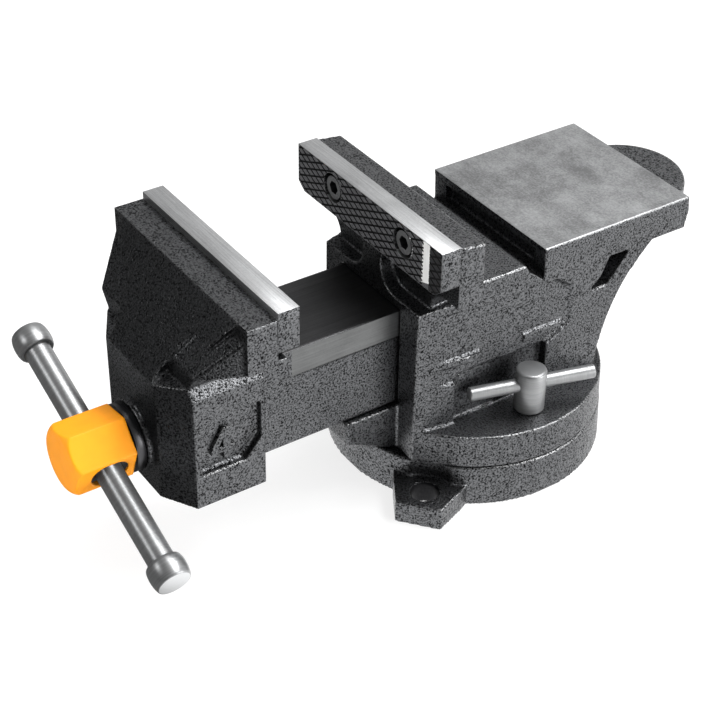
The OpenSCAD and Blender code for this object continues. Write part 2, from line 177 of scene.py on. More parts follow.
def slope(name, description, default_degrees):
    """An angle property that is stated in degrees and kept in radians."""
    return bpy.props.FloatProperty(
        name=name,
        description=description,
        default=math.radians(default_degrees),
        min=math.radians(10),
        max=math.radians(60),
        unit="ROTATION",
        subtype="ANGLE",
    )


class ViseSizes(bpy.types.PropertyGroup):
    """Sizes of the vise that the frame doesn't hold."""

    casting_grid: length("Casting grid", "Mesh size of the softened castings", 0.6, 0.4, 2)
    casting_passes: bpy.props.IntProperty(
        name="Casting passes",
        description="How often the castings' edges are smoothed",
        default=1,
        min=0,
        max=20,
    )
    knurl_pitch: length("Knurl pitch", "Distance from groove to groove", 2.93, 2, 5)
    knurl_depth: length("Knurl depth", "Depth of the grooves of a jaw plate", 0.5, 0.1, 0.8)
    knurl_half_width: length("Knurl half width", "Half the width of a groove", 0.4, 0.2, 0.8)
    knurl_rise: slope("Knurl rise", "Angle of the grooves that rise towards +X", 22.6)
    knurl_fall: slope("Knurl fall", "Angle of the grooves that fall towards +X", 27.1)
    thread_lead: length("Thread lead", "Travel of the jaw for one turn of the screw", 4, 3, 6)
    thread_depth: length("Thread depth", "Depth of the lead screw's thread", 1.9, 1, 2.5)
    mark_height: length("Mark height", "Height of the raised size number", 14, 8, 16)


class ViseColours(bpy.types.PropertyGroup):
    """Colours of the vise's finishes."""

    enamel_grain: tint("Enamel grain", "Light flecks of the hammertone enamel", "#747577")
    enamel_vein: tint("Enamel vein", "Dark veins of the hammertone enamel", "#141415")
    ground_steel: tint("Ground steel", "Ground face of the anvil", "#a9aaab")
    plate_steel: tint("Plate steel", "Ground tops of the jaw plates", "#e2e3e4")
    band_steel: tint("Slide sides", "Machined upper sides of the slide", "#757676")
    # the slide top's colour is painted dark: a painted reflection of the dark jaws above it
    slide_top_shade: tint("Slide", "Oiled machined top of the slide", "#424243")
    satin_steel: tint("Satin steel", "Sliding bar, its caps and the locks", "#acadae")
    dark_steel: tint("Dark steel", "Lead screw and nut", "#5b5b5d")
    black_oxide: tint("Black oxide", "Socket screws", "#1d1d1f")
    cover_orange: tint("Cover", "Moulded cover of the screw head", "#ff9f0a")
    # the white stripe on a jaw plate is a painted highlight of a ground band that catches the
    # light
    stripe_highlight_paint: tint("Marking paint", "White stripe on the end of a jaw plate", "#ececea")
    floor: tint("Floor", "Floor and backdrop", "#fafafa")


def sizes():
    return bpy.context.scene.vise_sizes


def colours():
    return bpy.context.scene.vise_colours


# ---------- materials ----------


def put(material, kind, values=None, links=None, **settings):
    """Adds a node: settings are its properties, values and links go to its inputs."""
    tree = material.node_tree
    made = tree.nodes.new("ShaderNode" + kind)
    for name, value in settings.items():
        setattr(made, name, value)
    for key, value in (values or {}).items():
        made.inputs[key].default_value = value
    for key, source in (links or {}).items():
        tree.links.new(source, made.inputs[key])
    return made


def maths(material, operation, *inputs):
    """The result of a Math node. Each input is a number or another node's output."""
    sockets = {k: v for k, v in enumerate(inputs) if isinstance(v, bpy.types.NodeSocket)}
    numbers = {k: v for k, v in enumerate(inputs) if k not in sockets}
    return put(material, "Math", numbers, sockets, operation=operation).outputs[0]


def spread(material, source, low, high, most=1.0):
    """Source mapped so that low gives 0 and high gives most."""
    values = {"From Min": low, "From Max": high, "To Max": most}
    return put(material, "MapRange", values, {"Value": source}).outputs[0]


def noise(material, where, width, detail, roughness=0.5, distortion=0.0):
    """Noise whose marks are about width across, in the unit of where."""
    values = {
        "Scale": 1 / width,
        "Detail": detail,
        "Roughness": roughness,
        "Distortion": distortion,
    }
    return put(material, "TexNoise", values, {"Vector": where}).outputs["Fac"]


def stretched(material, where, run, across, axis):
    """Coordinates in which a mark of length run and width across (metres) measures 1 by 1."""
    scale = [1 / across] * 3
    scale[axis] = 1 / run
    return put(material, "Mapping", {"Scale": scale}, {"Vector": where}).outputs[0]


def grey(level):
    """A linear grey with full alpha."""
    return (level, level, level, 1.0)


def rgba(colour, factor=1.0):
    """A colour times a factor, with full alpha."""
    return tuple(c * factor for c in colour[:3]) + (1.0,)


def ramp(material, source, stops):
    """A colour ramp over source, with stops of (position, colour)."""
    made = put(material, "ValToRGB", links={"Fac": source})
    elements = made.color_ramp.elements
    for extra in stops[2:]:
        elements.new(extra[0])
    for element, (position, colour) in zip(elements, stops):
        element.position = position
        element.color = colour
    return made.outputs["Color"]


def tones(material, source, colour, *stops):
    """A ramp of one colour over source, with stops of (position, factor)."""
    return ramp(material, source, [(at, rgba(colour, factor)) for at, factor in stops])


def within(material, where, low, high):
    """1 inside a box of the row's frame in millimetres, 0 outside. None leaves a side open."""
    axes = put(material, "SeparateXYZ", links={"Vector": where})
    factor = None
    for axis, limits in enumerate(zip(low, high)):
        for limit, operation in zip(limits, ("GREATER_THAN", "LESS_THAN")):
            if limit is None:
                continue
            test = maths(material, operation, axes.outputs[axis], limit * MM)
            factor = test if factor is None else maths(material, "MULTIPLY", factor, test)
    return factor


def skin(material, tone, values, bump=None, **links):
    """A principled surface of colour tone. bump is (height, strength, depth in metres)."""
    if bump:
        height, strength, depth = bump
        raised = put(
            material, "Bump", {"Strength": strength, "Distance": depth}, {"Height": height}
        )
        links["Normal"] = raised.outputs["Normal"]
    return put(material, "BsdfPrincipled", values, {"Base Color": tone, **links})


def mix(material, factor, first, second):
    """The first shader where factor is 0 and the second where it is 1."""
    return put(
        material, "MixShader", links={0: factor, 1: first.outputs[0], 2: second.outputs[0]}
    )


def material_of(name, surface):
    """The material of that name. surface(material, where) makes its shader when it is new."""
    material = bpy.data.materials.get(name)
    if material is None:
        material = bpy.data.materials.new(name)
        material.use_nodes = True
        material.node_tree.nodes.clear()
        shader = surface(material, put(material, "TexCoord").outputs["Object"])
        put(material, "OutputMaterial", links={"Surface": shader.outputs[0]})
    return material


def hammertone(material, where):
    """Hammertone enamel sprayed on cast iron: metal flakes in dimples, dark veins between."""
    dimple = noise(material, where, 0.75 * MM, 2.0, distortion=0.3)
    # a coarser noise makes the dimples' density uneven
    drift = noise(material, where, 5 * MM, 1.0)
    height = maths(material, "MULTIPLY_ADD", drift, 0.1, dimple)
    grain, vein = colours().enamel_grain, colours().enamel_vein
    tone = ramp(
        material, height, [(0.42, rgba(vein)), (0.53, rgba(grain, 0.6)), (0.69, rgba(grain))]
    )
    # ridges that face up are painted lighter: a painted highlight of the lamps above, broken up
    # by the dimples
    form = put(material, "NewGeometry")
    ridge = ramp(material, form.outputs["Pointiness"], [(0.515, grey(0)), (0.57, grey(1))])
    facing = put(material, "SeparateXYZ", links={"Vector": form.outputs["Normal"]})
    upward = spread(material, facing.outputs["Z"], 0.2, 0.6)
    broken = spread(material, height, 0.46, 0.6, 0.9)
    thin = maths(material, "MULTIPLY", maths(material, "MULTIPLY", ridge, upward), broken)
    tone = put(
        material, "MixRGB", {"Color2": grey(RIDGE_HIGHLIGHT_GREY)}, {"Fac": thin, "Color1": tone}
    ).outputs["Color"]
    gloss = ramp(material, height, [(0.43, grey(0.6)), (0.55, grey(0.32))])
    return skin(
        material, tone, {"Metallic": 1.0}, (height, 1.0, 0.2 * MM), Roughness=gloss
    )


def ground(material, where, colour, axis, contrast, roughness, shares=GROUND_SHARES):
    """Surface-ground steel or iron: scratches along one axis, clouds and pits, soft gloss."""
    scratch = noise(
        material, stretched(material, where, 22 * MM, 0.45 * MM, axis), 1.0, 3.0, 0.6
    )
    cloud = noise(material, where, 14 * MM, 3.0)
    pit = noise(material, where, 0.8 * MM, 2.0)
    height = maths(material, "MULTIPLY", scratch, shares[0])
    for mark, share in zip((cloud, pit), shares[1:]):
        height = maths(material, "MULTIPLY_ADD", mark, share, height)
    # each noise lies round a half, so the sum is moved to lie round a half too
    even = maths(material, "SUBTRACT", height, sum(shares) / 2 - 0.5)
    tone = tones(material, even, colour, (0.225, 1 - contrast), (0.775, 1 + contrast * 0.4))
    return skin(
        material,
        tone,
        {"Metallic": 1.0, "Roughness": roughness},
        (height, 0.25, 0.03 * MM),
    )


def enamel_material():
    """Hammertone enamel on cast iron, with no machined face."""
    return material_of("hammertone_enamel_sprayed", hammertone)


def body_material():
    """Hammertone enamel, with the anvil's face ground bare."""

    def surface(material, where):
        face = mount("anvil_face")["pos_m"][2] / MM
        low = (None, ANVIL_START_Y, face - 0.25)
        anvil = within(material, where, low, (None, None, face + 1))
        bare = ground(
            material, where, colours().ground_steel, 0, 0.45, 0.42, ANVIL_SHARES
        )
        return mix(material, anvil, hammertone(material, where), bare)

    return material_of("hammertone_enamel_with_ground_anvil", surface)


def jaw_material():
    """Hammertone enamel, with the slide's top and upper sides machined."""

    def surface(material, where):
        skin_z, over = SLIDE_TOP_Z - 0.35, (None, None, SLIDE_TOP_Z + 0.5)
        top = within(material, where, (None, SLIDE_TOP_START_Y, skin_z), over)
        side = within(
            material, where, (None, SLIDE_SIDE_START_Y, SLIDE_BAND_Z - 0.1), over
        )
        slide = within(
            material, where, (-SLIDE_HALF, None, None), (SLIDE_HALF, None, None)
        )
        machined = maths(
            material, "MULTIPLY", maths(material, "MAXIMUM", side, top), slide
        )
        lane = within(
            material, where, (-SLIDE_LANE_HALF, None, skin_z), (SLIDE_LANE_HALF, None, None)
        )
        # the top is painted dark as a painted reflection of the jaws above it, its lane darker
        # than its rims
        tone = colours().slide_top_shade
        sides = ground(material, where, colours().band_steel, 1, 0.25, 0.4)
        rims = ground(material, where, rgba(tone, 1.25), 1, 0.3, 0.4)
        dark_lane = ground(material, where, tone, 1, 0.3, 0.45)
        bare = mix(material, lane, mix(material, top, sides, rims), dark_lane)
        return mix(material, machined, hammertone(material, where), bare)

    return material_of("hammertone_enamel_with_machined_slide", surface)


def ground_material(name, colour, axis, contrast=0.25, roughness=0.34):
    """Ground, machined or rolled metal with marks along one axis."""

    def surface(material, where):
        return ground(material, where, colour, axis, contrast, roughness)

    return material_of(name, surface)


def turned_material(name, colour, roughness=0.3, contrast=0.35, metallic=1.0):
    """Turned steel: fine rings round the piece's own Z axis, satin gloss."""

    def surface(material, where):
        ring = noise(
            material, stretched(material, where, 0.35 * MM, 30 * MM, 2), 1.0, 3.0, 0.7
        )
        tone = tones(material, ring, colour, (0.3, 1 - contrast), (0.7, 1.0))
        values = {"Metallic": metallic, "Roughness": roughness}
        return skin(material, tone, values, (ring, 0.3, 0.04 * MM))

    return material_of(name, surface)


def oxide_and_hole_shade_material():
    """Black oxide on alloy steel: near black, with a faint mottle and a dull gloss. It is also
    painted inside the base's bolt holes as painted shade.
    """

    def surface(material, where):
        mottle = noise(material, where, 0.9 * MM, 3.0)
        tone = tones(material, mottle, colours().black_oxide, (0.3, 0.6), (0.75, 1.6))
        values = {"Metallic": 0.8, "Roughness": 0.42}
        return skin(material, tone, values, (mottle, 0.2, 0.03 * MM))

    return material_of("black_oxide_dipped_and_hole_shade", surface)


def knurled_material(name, wear_and_shade):
    """Milled and hardened steel: dark, with lighter worn tips between the grooves. Below 1,
    wear_and_shade darkens it as painted shade.
    """

    def surface(material, where):
        grit = noise(material, where, 0.5 * MM, 3.0, 0.6)
        tone = tones(
            material, grit, colours().dark_steel, (0.3, 0.85 * wear_and_shade), (0.75, 1.9 * wear_and_shade)
        )
        values = {"Metallic": 0.4, "Roughness": 0.5}
        return skin(material, tone, values, (grit, 0.35, 0.05 * MM))

    return material_of(name, surface)


def groove_material():
    """Grooves of the knurl: hardened steel coloured near black, with a faint speckle."""

    def surface(material, where):
        speckle = noise(material, where, 0.7 * MM, 2.0)
        tone = ramp(material, speckle, [(0.3, linear("#060606")), (0.8, linear("#1c1c1d"))])
        return skin(material, tone, {"Metallic": 0.3, "Roughness": 0.7})

    return material_of("hardened_steel_dark_grooves", surface)


def stripe_highlight_material():
    """A white stripe painted as a highlight where a ground band of the plate catches the light,
    with faint brush lines.
    """

    def surface(material, where):
        brush = noise(material, stretched(material, where, 9 * MM, 0.6 * MM, 2), 1.0, 2.0)
        tone = tones(material, brush, colours().stripe_highlight_paint, (0.3, 0.88), (0.7, 1.0))
        return skin(material, tone, {"Roughness": 0.5}, (brush, 0.2, 0.03 * MM))

    return material_of("white_paint_stripe_highlight", surface)


def plastic_material():
    """Moulded polypropylene: saturated orange, a fine spark-eroded grain, satin gloss."""

    def surface(material, where):
        grain = noise(material, where, 0.55 * MM, 2.0, 0.6)
        cloud = noise(material, where, 9 * MM, 2.0)
        tone = tones(material, cloud, colours().cover_orange, (0.35, 0.93), (0.65, 1.0))
        values = {"Roughness": 0.45, "IOR": 1.49, "Specular IOR Level": 0.3}
        return skin(material, tone, values, (grain, 0.18, 0.05 * MM))

    return material_of("polypropylene_moulded", surface)


# ---------- mesh helpers ----------


@contextlib.contextmanager
def editing(mesh, source=None):
    """The BMesh of a mesh, or of a source mesh, that is written to mesh at the end."""
    shape = bmesh.new()
    shape.from_mesh(source or mesh)
    yield shape
    shape.to_mesh(mesh)
    shape.free()


def add_object(name, data):
    made = bpy.data.objects.new(name, data)
    bpy.context.scene.collection.objects.link(made)
    return made


def copy_of(node, name):
    """A free copy of a CAD node with its seams welded and its paint taken off."""
    mesh = bpy.data.meshes.new(name)
    with editing(mesh, frame["nodes"][node].data) as shape:
        bmesh.ops.remove_doubles(shape, verts=shape.verts, dist=SEAM)
        for face in shape.faces:
            face.material_index = 0
    return add_object(name, mesh)


def settle(made):
    """Turns an object's modifiers into its mesh."""
    view = bpy.context.evaluated_depsgraph_get()
    view.update()
    mesh = bpy.data.meshes.new_from_object(made.evaluated_get(view))
    made.modifiers.clear()
    made.data = mesh
    mesh.name = made.name
    return made


def trim(made, tool, operation):
    """Cuts a closed mesh with another one, which is used up."""
    cut = made.modifiers.new("cut", "BOOLEAN")
    cut.operation = operation
    cut.solver = "EXACT"
    cut.object = tool
    settle(made)
    bpy.data.objects.remove(tool)


def soften(made, grid, passes, kept=1.0):
    """Rebuilds a mesh on a grid, smooths its edges and keeps a share of its faces."""
    rebuilt = made.modifiers.new("grid", "REMESH")
    rebuilt.mode = "VOXEL"
    rebuilt.voxel_size = grid
    soft = made.modifiers.new("soft", "SMOOTH")
    soft.factor = 0.5
    soft.iterations = passes
    if kept < 1:
        made.modifiers.new("thin", "DECIMATE").ratio = kept
    return settle(made)


def shade(made, angle=35):
    """Smooth shading, with edges sharper than angle (degrees) left crisp."""
    with editing(made.data) as shape:
        for face in shape.faces:
            face.smooth = True
        for edge in shape.edges:
            if len(edge.link_faces) == 2:
                edge.smooth = edge.calc_face_angle(0) < math.radians(angle)
    return made


def merge_flats(shape):
    """Joins the triangles of each flat face."""
    bmesh.ops.dissolve_limit(
        shape, angle_limit=math.radians(0.5), verts=shape.verts, edges=shape.edges
    )


def break_edges(made, width, angle=50):
    """Small bevels on the edges of a machined piece that are sharper than angle (degrees)."""
    with editing(made.data) as shape:
        merge_flats(shape)
        sharp = [
            e
            for e in shape.edges
            if len(e.link_faces) == 2 and e.calc_face_angle(0) > math.radians(angle)
        ]
        bmesh.ops.bevel(
            shape,
            geom=sharp,
            offset=width,
            segments=2,
            profile=0.5,
            affect="EDGES",
            clamp_overlap=True,
        )
    return made


def saw(shape, point, normal):
    """Cuts a closed shape at a plane, drops what lies beyond the plane and caps the cut."""
    cut = bmesh.ops.bisect_plane(
        shape,
        geom=[*shape.verts, *shape.edges, *shape.faces],
        plane_co=point,
        plane_no=normal,
        clear_outer=True,
    )
    rim = [e for e in cut["geom_cut"] if isinstance(e, bmesh.types.BMEdge)]
    bmesh.ops.edgeloop_fill(shape, edges=rim)


def circle(shape, radius, height, steps):
    """A ring of vertices round local Z, or a single one where the radius is 0."""
    if radius == 0:
        return [shape.verts.new((0, 0, height * MM))]
    turn = [2 * math.pi * k / steps for k in range(steps)]
    return [
        shape.verts.new((radius * MM * math.cos(a), radius * MM * math.sin(a), height * MM))
        for a in turn
    ]


def lathe(name, outline, steps=96):
    """Turns an outline of (radius, height) points in millimetres round local Z."""
    mesh = bpy.data.meshes.new(name)
    with editing(mesh) as shape:
        rings = [circle(shape, radius, height, steps) for radius, height in outline]
        for first, second in zip(rings, rings[1:]):
            for k in range(steps):
                corners = [
                    first[k % len(first)],
                    first[(k + 1) % len(first)],
                    second[(k + 1) % len(second)],
                    second[k % len(second)],
                ]
                # a point on the axis leaves a triangle
                shape.faces.new(list(dict.fromkeys(corners)))
        bmesh.ops.recalc_face_normals(shape, faces=shape.faces)
    return shade(add_object(name, mesh))


def place(made, position, axis):
    """Moves a piece so that its origin is at position and its local Z points along axis."""
    turn = Vector(axis).to_track_quat("Z", "Y").to_matrix().to_4x4()
    made.matrix_world = Matrix.Translation(Vector(position)) @ turn
    bpy.context.view_layer.update()
    return made


def paint(made, *materials):
    made.data.materials.clear()
    for material in materials:
        made.data.materials.append(material)
    return made


def repaint(material, *nodes):
    """A better material on CAD nodes that stay."""
    for node in nodes:
        paint(frame["nodes"][node], material)


def stands_for(made, node):
    """The piece rides on its node's body and hides the node."""
    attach(made, frame["nodes"][node]["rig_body"])
    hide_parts(node)
    return made


# ---------- pieces ----------


class VISE_OT_castings(bpy.types.Operator):
    """Softens the edges of the three castings and paints them"""

    bl_idname = "vise.castings"
    bl_label = "Castings"

    def execute(self, context):
        for node, material in (
            ("swivel_base", enamel_material()),
            ("fixed_body", body_material()),
            ("moving_jaw", jaw_material()),
        ):
            made = copy_of(node, node + "_cast")
            soften(made, sizes().casting_grid, sizes().casting_passes, kept=0.4)
            shade(made, 60)
            paint(made, material, oxide_and_hole_shade_material())
            if node == "swivel_base":
                # the bench bolt holes are painted dark inside with the black oxide: painted
                # shade
                hole = Vector(BOLT_HOLE) * MM
                for face in made.data.polygons:
                    away = min((face.center.xy - hole).length, (face.center.xy + hole).length)
                    inside = away < BOLT_HOLE_REACH * MM and abs(face.normal.z) < 0.7
                    face.material_index = int(inside)
            stands_for(made, node)
        return {"FINISHED"}


class VISE_OT_size_mark(bpy.types.Operator):
    """Raises a plain number in the recess on each side of the moving jaw"""

    bl_idname = "vise.size_mark"
    bl_label = "Size mark"

    def execute(self, context):
        high = sizes().mark_height
        # the recess's floor, and where the numeral starts and stands on it, in millimetres
        floor_x, start_y, foot_z = 30.9, {1: -143.5, -1: -133.5}, 58.6
        # a plain numeral that is one unit high
        outer = [
            (0.0, 0.24),
            (0.0, 0.40),
            (0.36, 1.0),
            (0.56, 1.0),
            (0.56, 0.38),
            (0.70, 0.38),
            (0.70, 0.24),
            (0.56, 0.24),
            (0.56, 0.0),
            (0.38, 0.0),
            (0.38, 0.24),
        ]
        inner = [(0.16, 0.38), (0.38, 0.38), (0.38, 0.76)]
        for side, name in ((1, "size_mark_right"), (-1, "size_mark_left")):
            curve = bpy.data.curves.new(name, "CURVE")
            curve.dimensions = "2D"
            curve.fill_mode = "BOTH"
            curve.extrude = 0.6 * MM
            curve.bevel_depth = 0.25 * MM
            curve.bevel_resolution = 1
            for outline in (outer, inner):
                spline = curve.splines.new("POLY")
                spline.points.add(len(outline) - 1)
                spline.use_cyclic_u = True
                for point, (x, y) in zip(spline.points, outline):
                    point.co = (x * high, y * high, 0, 1)
            drawn = add_object(name + "_outline", curve)
            view = bpy.context.evaluated_depsgraph_get()
            mesh = bpy.data.meshes.new_from_object(drawn.evaluated_get(view))
            bpy.data.objects.remove(drawn)
            made = add_object(name, mesh)
            # the numeral stands on the recess's floor and reads from outside
            run = Vector((0, side, 0))
            up = Vector((0, 0, 1))
            turn = Matrix((run, up, run.cross(up))).transposed().to_4x4()
            foot = Vector((side * floor_x, start_y[side], foot_z)) * MM
            made.matrix_world = Matrix.Translation(foot) @ turn
            bpy.context.view_layer.update()
            paint(made, enamel_material())
            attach(made, "slide")
        return {"FINISHED"}


# a jaw plate's materials by their place, and how deep the grooves beyond its stripe are
KNURLED, GROOVE, ENAMELLED, STRIPE_HIGHLIGHT, SHADED_KNURL = range(1, 6)
SHALLOW = 0.4


class VISE_OT_jaw_plates(bpy.types.Operator):
    """Knurls the two jaw plates and breaks their edges"""

    bl_idname = "vise.jaw_plates"
    bl_label = "Jaw plates"

    def execute(self, context):
        materials = [
            ground_material("hardened_steel_ground", colours().plate_steel, 0, 0.3, 0.3),
            knurled_material("hardened_steel_milled", 1.0),
            groove_material(),
            enamel_material(),
            stripe_highlight_material(),
            # a darker copy of the knurled steel: painted shade on the plate's end between the
            # jaws
            knurled_material("hardened_steel_milled_shaded", 0.33),
        ]
        for node, out in (("fixed_jaw_plate", -1), ("moving_jaw_plate", 1)):
            made = copy_of(node, node + "_knurled")
            break_edges(made, 0.3 * MM)
            paint(made, *materials)
            self.knurl(made, out)
            shade(made, 25)
            stands_for(made, node)
        return {"FINISHED"}

    def knurl(self, made, out):
        """Cuts two families of grooves in the gripping face; out is its direction along Y."""
        tile = sizes().knurl_pitch
        half = sizes().knurl_half_width
        band = (37.5 * MM, 42.1 * MM)  # white stripe near one end: a painted highlight
        run_out = 0.6 * MM  # how far the grooves cut into the stripe
        edge = 0.12 * MM  # width of the steps beside the stripe's flat
        flat = (band[0] + run_out, band[1] - edge)
        # the stripe's foot rises from this corner along foot_line
        foot = Vector((band[0], 0, 111.4 * MM))
        foot_line = Vector((1, 0, 0.33)).normalized()
        foot_normal = Vector((-foot_line.z, 0, foot_line.x))
        families = [
            Vector((-math.sin(a), 0, math.cos(a)))
            for a in (sizes().knurl_rise, -sizes().knurl_fall)
        ]

        def front(shape, face_y):
            """The faces that lie on the gripping face."""
            near = 0.005 * MM
            return [
                f for f in shape.faces if all(abs(v.co.y - face_y) < near for v in f.verts)
            ]

        def split(shape, face_y, point, normal):
            """Cuts the gripping face along a plane."""
            faces = front(shape, face_y)
            edges = {e for f in faces for e in f.edges}
            verts = {v for f in faces for v in f.verts}
            bmesh.ops.bisect_plane(
                shape,
                geom=[*faces, *edges, *verts],
                plane_co=point,
                plane_no=normal,
                dist=0.002 * MM,
            )

        def depth(point):
            """How deep the grooves are at a point."""
            if flat[0] + edge / 2 <= point.x <= flat[1] + edge / 2:
                return 0.0
            beyond = point.x > band[1] - edge / 2
            deep = sizes().knurl_depth * (SHALLOW if beyond else 1)
            found = 0.0
            for normal in families:
                offset = normal.dot(point) / tile
                offset = abs(offset - round(offset)) * tile
                found = max(found, deep * (1 - offset / half))
            return found

        def finish_of(centre):
            """The material of a facet of the gripping face, by its centre."""
            if depth(centre) > 0.03 * MM:
                return GROOVE
            # past the stripe the knurl takes its darker copy, which is painted shade
            if centre.x > band[1]:
                return SHADED_KNURL
            above_foot = (centre - foot).dot(foot_normal) > 0
            return STRIPE_HIGHLIGHT if centre.x > band[0] and above_foot else KNURLED

        with editing(made.data) as shape:
            face_y = max(v.co.y * out for v in shape.verts) * out
            low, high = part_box("fixed_jaw_plate")
            corners = [Vector((x, 0, z)) for x in (low.x, high.x) for z in (low.z, high.z)]
            for normal in families:
                reach = [normal.dot(c) for c in corners]
                first, last = math.ceil(min(reach) / tile), math.floor(max(reach) / tile)
                for k in range(first, last + 1):
                    for shift in (-half, 0, half):
                        split(shape, face_y, normal * (k * tile + shift), normal)
            for x in (band[0], flat[0], flat[0] + edge, flat[1], band[1]):
                split(shape, face_y, Vector((x, 0, 0)), Vector((1, 0, 0)))
            split(shape, face_y, foot, foot_normal)

            faces = front(shape, face_y)
            sunk = {v: depth(v.co) for f in faces for v in f.verts}
            for face in faces:
                face.material_index = finish_of(face.calc_center_median())
            for vert, value in sunk.items():
                vert.co.y -= out * value
            kept = set(faces)
            for face in shape.faces:
                painted = abs(face.normal.x) > 0.6 or face.normal.z < -0.6
                if face not in kept and painted:
                    face.material_index = ENAMELLED


class VISE_OT_plate_screws(bpy.types.Operator):
    """Breaks the edges of the socket screws and blackens them"""

    bl_idname = "vise.plate_screws"
    bl_label = "Plate screws"

    def execute(self, context):
        ring = turned_material(
            "alloy_steel_turned_head", rgba(colours().satin_steel, 0.4), 0.4, 0.35, 0.4
        )
        for node in ("fixed_jaw_screws", "moving_jaw_screws"):
            made = copy_of(node, node + "_black")
            break_edges(made, 0.35 * MM, 40)
            shade(made, 40)
            paint(made, oxide_and_hole_shade_material(), ring)
            # the heads' front faces are turned bright
            front = 1 if node.startswith("moving") else -1
            for face in made.data.polygons:
                face.material_index = int(face.normal.y * front > 0.9)
            stands_for(made, node)
        repaint(oxide_and_hole_shade_material(), "nut_bolts", "pivot_bolt")
        return {"FINISHED"}


class VISE_OT_lead_screw(bpy.types.Operator):
    """Cuts the thread of the lead screw and finishes what sits on it"""

    bl_idname = "vise.lead_screw"
    bl_label = "Lead screw"

    def execute(self, context):
        centre = Vector((0, 0, joint("screw_spin")["pos_m"][2]))
        # the thread starts just behind the split pin
        thread_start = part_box("split_pin")[1].y + 3 * MM
        steel = turned_material("carbon_steel_turned", colours().dark_steel, 0.32)

        head = copy_of("lead_screw", "lead_screw_head")
        # local Z runs along the screw, so that the turned rings follow it
        stand = Matrix.Translation(centre) @ Matrix.Rotation(math.radians(-90), 4, "X")
        with editing(head.data) as shape:
            merge_flats(shape)
            saw(shape, (0, thread_start, 0), (0, 1, 0))
            shape.transform(stand.inverted())
        head.matrix_world = stand
        bpy.context.view_layer.update()
        break_edges(head, 0.25 * MM)

        thread = self.thread(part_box("lead_screw")[1].y - thread_start, SCREW_RADIUS * MM)
        place(thread, centre + Vector((0, thread_start, 0)), (0, 1, 0))
        for made in (head, thread):
            shade(made, 30)
            paint(made, steel)
            stands_for(made, "lead_screw")

        repaint(ground_material("cast_iron_machined", colours().dark_steel, 1), "screw_nut")
        repaint(
            ground_material("spring_steel_rolled", colours().satin_steel, 0),
            "thrust_washer",
            "thrust_spring",
            "retaining_washer",
            "pivot_washer",
            "split_pin",
        )
        return {"FINISHED"}

    def thread(self, span, radius):
        """A right-hand trapezoidal thread of length span along local Z."""
        lead = sizes().thread_lead
        root = radius - sizes().thread_depth
        steps = 48
        # one groove and one crest for each lead, as (fraction of the lead, radius)
        profile = [(0.0, radius), (0.37, radius), (0.5, root), (0.87, root)]
        turns = math.ceil(span / lead) + 3
        mesh = bpy.data.meshes.new("lead_screw_thread")
        with editing(mesh) as shape:
            lines = []
            for k in range(turns * len(profile)):
                part, reach = profile[k % len(profile)]
                line = []
                for j in range(steps + 1):
                    angle = 2 * math.pi * j / steps
                    z = lead * (k // len(profile) - 1.5 + part + j / steps)
                    line.append(
                        shape.verts.new((reach * math.cos(angle), reach * math.sin(angle), z))
                    )
                lines.append(line)
            for first, second in zip(lines, lines[1:]):
                for j in range(steps):
                    shape.faces.new((first[j], first[j + 1], second[j + 1], second[j]))
            bmesh.ops.remove_doubles(shape, verts=shape.verts, dist=SEAM)
            saw(shape, (0, 0, 0), (0, 0, -1))
            saw(shape, (0, 0, span), (0, 0, 1))
            bmesh.ops.recalc_face_normals(shape, faces=shape.faces)
        return add_object("lead_screw_thread", mesh)


class VISE_OT_cover(bpy.types.Operator):
    """Moulds the six-sided cover of the screw head"""

    bl_idname = "vise.cover"
    bl_label = "Head cover"

    def execute(self, context):
        low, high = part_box("screw_head_cover")
        axis = Vector(joint("handle_slide")["axis"]).normalized()
        centre = Vector((0, low.y, joint("screw_spin")["pos_m"][2]))
        depth = (high.y - low.y) / MM
        along = (0, 1, 0)
        # six flats, two of them square to the bar
        made = lathe(
            "screw_head_cover_moulded",
            [(0, 0), (COVER_CORNER, 0), (COVER_CORNER, depth), (0, depth)],
            steps=6,
        )
        turn = math.atan2(axis.z, axis.x) + math.radians(30)
        made.data.transform(Matrix.Rotation(-turn, 4, "Z"))
        place(made, centre, along)
        # the front end is crowned: the flats run out into a turned dome
        crown = lathe(
            "cover_crown",
            [
                (0, 0), (7, 0), (9.5, 0.15), (11.2, 0.45), (12.3, 0.85), (13.1, 1.35),
                (13.8, 2), (14.4, 2.8), (15.2, 4.2), (16, 6), (16, 30), (0, 30),
            ],
        )
        place(crown, centre, along)
        trim(made, crown, "INTERSECT")
        bore = lathe("cover_bore", [(0, 2.5), (COVER_BORE, 2.5), (COVER_BORE, 40), (0, 40)])
        place(bore, centre, along)
        trim(made, bore, "DIFFERENCE")
        # two round cuts side by side leave a slot that is longer along the screw
        first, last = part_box("handle_bar")
        for step in (-1.6, 1.6):
            slot = lathe(
                "cover_slot", [(0, -20), (COVER_SLOT, -20), (COVER_SLOT, 20), (0, 20)]
            )
            middle = Vector((centre.x, (first.y + last.y) / 2 + step * MM, centre.z))
            place(slot, middle, axis)
            trim(made, slot, "DIFFERENCE")
        soften(made, 0.4 * MM, 6)
        shade(made, 70)
        paint(made, plastic_material())
        # the dull enamel behind it takes no orange reflection
        made.visible_glossy = False
        stands_for(made, "screw_head_cover")
        return {"FINISHED"}


